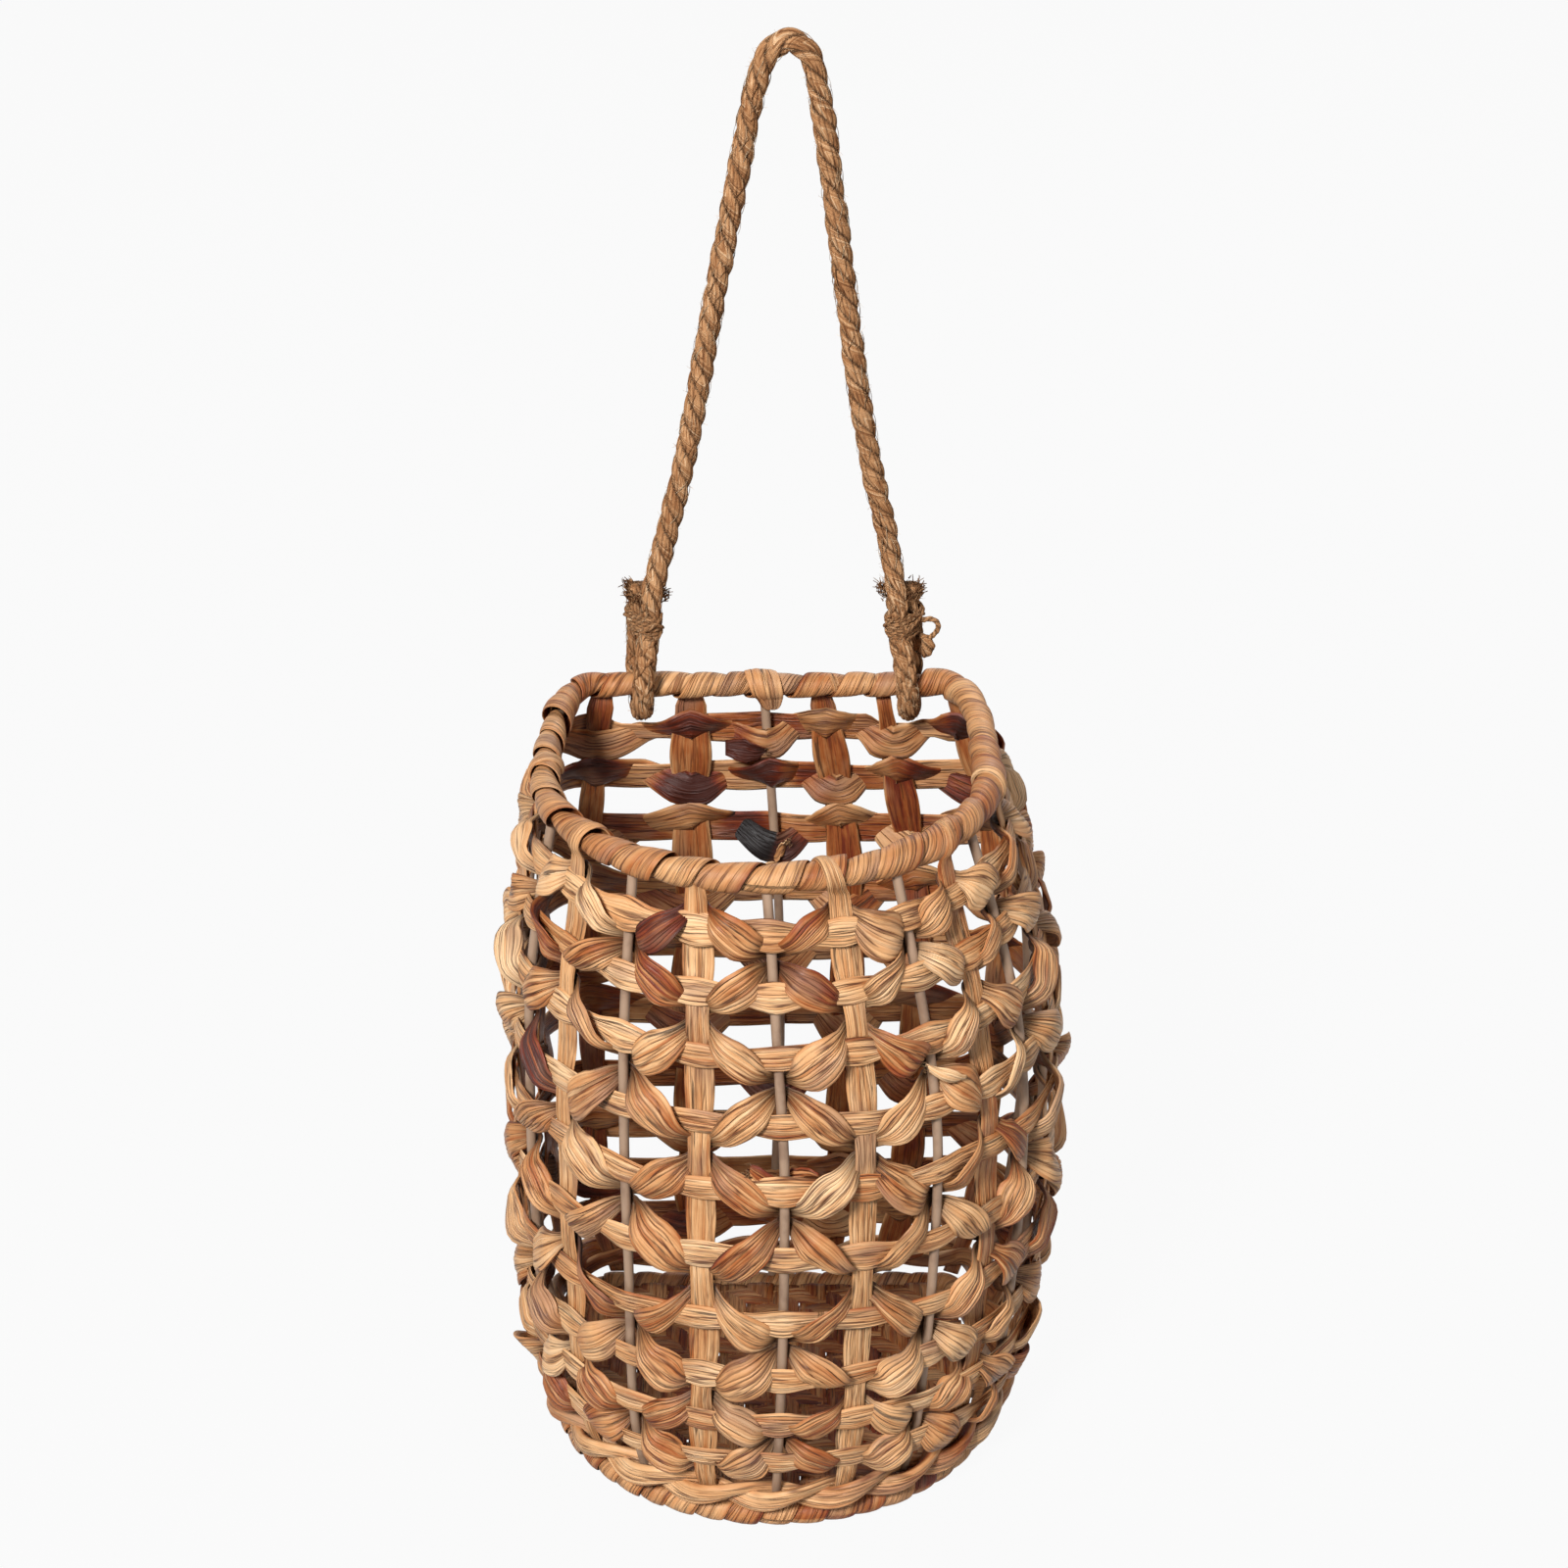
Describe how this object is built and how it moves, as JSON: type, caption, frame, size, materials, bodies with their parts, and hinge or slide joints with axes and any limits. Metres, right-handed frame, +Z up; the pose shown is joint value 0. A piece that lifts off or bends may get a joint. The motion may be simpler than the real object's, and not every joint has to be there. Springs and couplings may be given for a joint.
{
  "type": "hanging woven basket",
  "caption": "Open-weave leaf basket on a wire frame, flat back and rounded front, with a rope hanging handle looped round the back of the rim.",
  "frame": {"origin": "centre of the basket's box on the surface that it stands on, the rope handle and its lashings left out", "axes": "+Z up through the mouth, +Y out of the straight back that faces the wall, -Y out of the round front, +X to the right when the front is seen"},
  "size_m": [0.259, 0.2226, 0.6642],
  "materials": {
    "leaf_weave": "dried leaf, wrinkled, satin",
    "leaf_stake": "dried leaf, fibrous, satin",
    "leaf_binding": "dried leaf wound tight, satin",
    "wire_paint": "taupe paint, satin",
    "jute": "raw hairy fibre, matt"
  },
  "bodies": {
    "basket": {"top_ring": "wire_paint", "bottom_ring": "wire_paint", "rim_wrap": "leaf_binding", "foot_wrap": "leaf_binding", "upright_wire_1": "wire_paint", "leaf_stake_1": "leaf_stake", "upright_wire_2": "wire_paint", "leaf_stake_2": "leaf_stake", "upright_wire_3": "wire_paint", "leaf_stake_3": "leaf_stake", "upright_wire_4": "wire_paint", "leaf_stake_4": "leaf_stake", "upright_wire_5": "wire_paint", "leaf_stake_5": "leaf_stake", "leaf_stake_6": "leaf_stake", "leaf_stake_7": "leaf_stake", "upright_wire_6": "wire_paint", "leaf_stake_8": "leaf_stake", "leaf_stake_9": "leaf_stake", "leaf_stake_10": "leaf_stake", "upright_wire_7": "wire_paint", "leaf_stake_11": "leaf_stake", "upright_wire_8": "wire_paint", "leaf_stake_12": "leaf_stake", "upright_wire_9": "wire_paint", "leaf_stake_13": "leaf_stake", "band_1a": "leaf_weave", "band_1b": "leaf_weave", "band_2a": "leaf_weave", "band_2b": "leaf_weave", "band_3a": "leaf_weave", "band_3b": "leaf_weave", "band_4a": "leaf_weave", "band_4b": "leaf_weave", "band_5a": "leaf_weave", "band_5b": "leaf_weave", "petal_weaver_1": "leaf_weave", "petal_weaver_2": "leaf_weave", "petal_weaver_3": "leaf_weave", "petal_weaver_4": "leaf_weave", "petal_weaver_5": "leaf_weave", "petal_weaver_6": "leaf_weave", "petal_weaver_7": "leaf_weave", "petal_weaver_8": "leaf_weave", "petal_weaver_9": "leaf_weave", "petal_weaver_10": "leaf_weave", "border_strand_1": "leaf_binding", "border_strand_2": "leaf_binding", "base_wires": "wire_paint", "base_mat": "leaf_stake"},
    "handle": {"handle_rope": "jute", "lashing_left": "jute", "lashing_right": "jute"}
  },
  "joints": [
    {"name": "handle_swing", "type": "hinge", "parent": "basket", "child": "handle", "pos_m": [0, 0.0975, 0.3501], "axis": [1, 0, 0], "range_deg": [-110, 82]}
  ]
}
